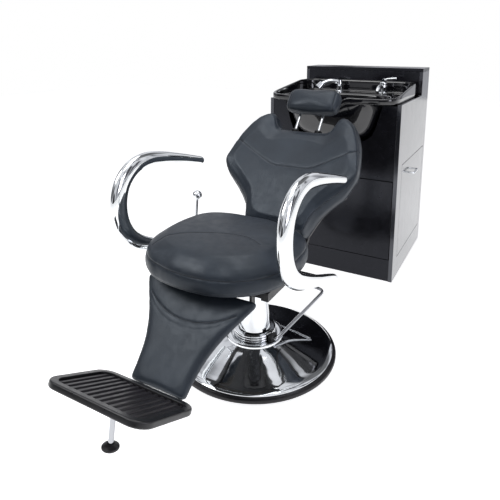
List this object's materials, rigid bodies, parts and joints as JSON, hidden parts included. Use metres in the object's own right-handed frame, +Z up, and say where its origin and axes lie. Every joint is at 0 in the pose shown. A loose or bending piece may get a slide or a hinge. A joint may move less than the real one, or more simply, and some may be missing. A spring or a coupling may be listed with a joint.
{
  "type": "shampoo backwash unit",
  "caption": "Hydraulic reclining salon chair with looped armrests, legrest and tilted footrest, in front of a black cabinet with a shampoo bowl, mixer and hand spray.",
  "frame": {"origin": "centre of the chair's round base on the floor, which is also the swivel axis", "axes": "+Z up; the seated person looks along -Y; the bowl cabinet is towards +Y; +X is the side of the cabinet with the service door"},
  "size_m": [0.681, 2.2012, 0.99],
  "materials": {
    "leather": "smooth satin upholstery leather, charcoal",
    "chrome": "mirror chrome",
    "polished_arm": "mirror polished, bright",
    "black_steel": "satin black powder coat",
    "black_shell": "black moulded shell",
    "rubber": "black rubber",
    "plywood": "black stained plywood",
    "laminate": "black gloss laminate board",
    "bowl_gloss": "high-gloss black",
    "strainer_steel": "brushed"
  },
  "bodies": {
    "floor_unit": {"base_plate": "black_steel", "base_ring": "rubber", "base_cover": "chrome", "hub_collar": "chrome", "pump_cylinder": "black_steel", "lever_block_left": "black_steel", "lever_block_right": "black_steel", "side_panel_left": "laminate", "side_panel_right": "laminate", "bottom_panel": "laminate", "plinth_board": "laminate", "front_lower_panel": "laminate", "front_upper_panel": "laminate", "back_panel": "laminate", "splash_front": "laminate", "splash_top": "laminate", "bowl": "bowl_gloss", "bowl_waste": "chrome", "drain_trap": "rubber", "mixer_body": "chrome", "spray_holder": "chrome"},
    "pump_pedal": {"pump_lever": "chrome"},
    "lift": {"column_shroud": "chrome", "ram_rod": "chrome"},
    "carriage": {"swivel_plate": "black_steel", "seat_frame": "black_steel", "seat_board": "plywood", "seat_cushion": "leather", "armrest_left": "polished_arm", "armrest_right": "polished_arm", "arm_bracket_left": "black_steel", "arm_bracket_right": "black_steel"},
    "backrest": {"back_cushion": "leather", "back_board": "black_shell", "back_arm_left": "black_steel", "back_arm_right": "black_steel", "back_pivot_rod": "chrome", "headrest_socket_left": "black_shell", "headrest_socket_right": "black_shell"},
    "headrest": {"headrest_cushion": "leather", "headrest_board": "plywood", "headrest_post_left": "chrome", "headrest_post_right": "chrome"},
    "recline_handle": {"recline_lever": "chrome", "recline_knob": "chrome"},
    "legrest": {"legrest_cushion": "leather", "legrest_board": "black_shell", "legrest_hinge_rod": "chrome", "footrest_hinge_rod": "chrome"},
    "footrest": {"footrest_tray": "black_shell", "footrest_mat": "rubber", "footrest_bracket": "chrome", "footrest_leg": "chrome", "footrest_leg_pad": "rubber"},
    "door": {"side_door": "laminate", "door_handle": "chrome"},
    "mixer_head": {"mixer_cap": "chrome"},
    "mixer_blade": {"mixer_lever": "chrome"},
    "shower": {"hand_spray": "chrome"},
    "strainer": {"drain_strainer": "strainer_steel"}
  },
  "joints": [
    {"name": "chair_lift", "type": "slide", "parent": "floor_unit", "child": "lift", "axis": [0, 0, 1], "range_m": [0, 0.14]},
    {"name": "seat_swivel", "type": "hinge", "parent": "lift", "child": "carriage", "pos_m": [0, 0, 0.35], "axis": [0, 0, 1], "range_deg": [-120, 120]},
    {"name": "back_recline", "type": "hinge", "parent": "carriage", "child": "backrest", "pos_m": [0, 0.112, 0.392], "axis": [-1, 0, 0], "range_deg": [-24, 8]},
    {"name": "legrest_tilt", "type": "hinge", "parent": "carriage", "child": "legrest", "pos_m": [0, -0.31938, 0.35694], "axis": [-1, 0, 0], "range_deg": [-18, 6]},
    {"name": "headrest_height", "type": "slide", "parent": "backrest", "child": "headrest", "axis": [0, 0.6401, 0.7683], "range_m": [-0.02, 0.055]},
    {"name": "footrest_tilt", "type": "hinge", "parent": "legrest", "child": "footrest", "pos_m": [0, -0.565, 0.184], "axis": [-1, 0, 0], "range_deg": [0, 30]},
    {"name": "recline_release", "type": "hinge", "parent": "carriage", "child": "recline_handle", "pos_m": [-0.2, 0.06, 0.388], "axis": [-1, 0, 0], "range_deg": [0, 14], "stiffness_Nm_per_rad": 8, "springref_deg": -3.44},
    {"name": "pump_press", "type": "hinge", "parent": "floor_unit", "child": "pump_pedal", "pos_m": [0, 0, 0.082], "axis": [-0.9659, 0.2588, 0], "range_deg": [0, 11], "stiffness_Nm_per_rad": 12, "springref_deg": -20.05},
    {"name": "door_swing", "type": "hinge", "parent": "floor_unit", "child": "door", "pos_m": [0.3255, 1.3595, 0.33], "axis": [0, 0, 1], "range_deg": [0, 110]},
    {"name": "mixer_turn", "type": "hinge", "parent": "floor_unit", "child": "mixer_head", "pos_m": [0.142, 1.15, 0.9058], "axis": [0, 0, 1], "range_deg": [-45, 45]},
    {"name": "mixer_flow", "type": "hinge", "parent": "mixer_head", "child": "mixer_blade", "pos_m": [0.142, 1.15, 0.9293], "axis": [0, -1, 0], "range_deg": [0, 22]},
    {"name": "spray_lift", "type": "slide", "parent": "floor_unit", "child": "shower", "axis": [0, 0, 1], "range_m": [0, 0.12]},
    {"name": "strainer_lift", "type": "slide", "parent": "floor_unit", "child": "strainer", "axis": [0, 0, 1], "range_m": [0, 0.03]}
  ],
  "couplings": [
    {"joint": "legrest_tilt", "follows": "back_recline", "ratio": 0.75}
  ]
}
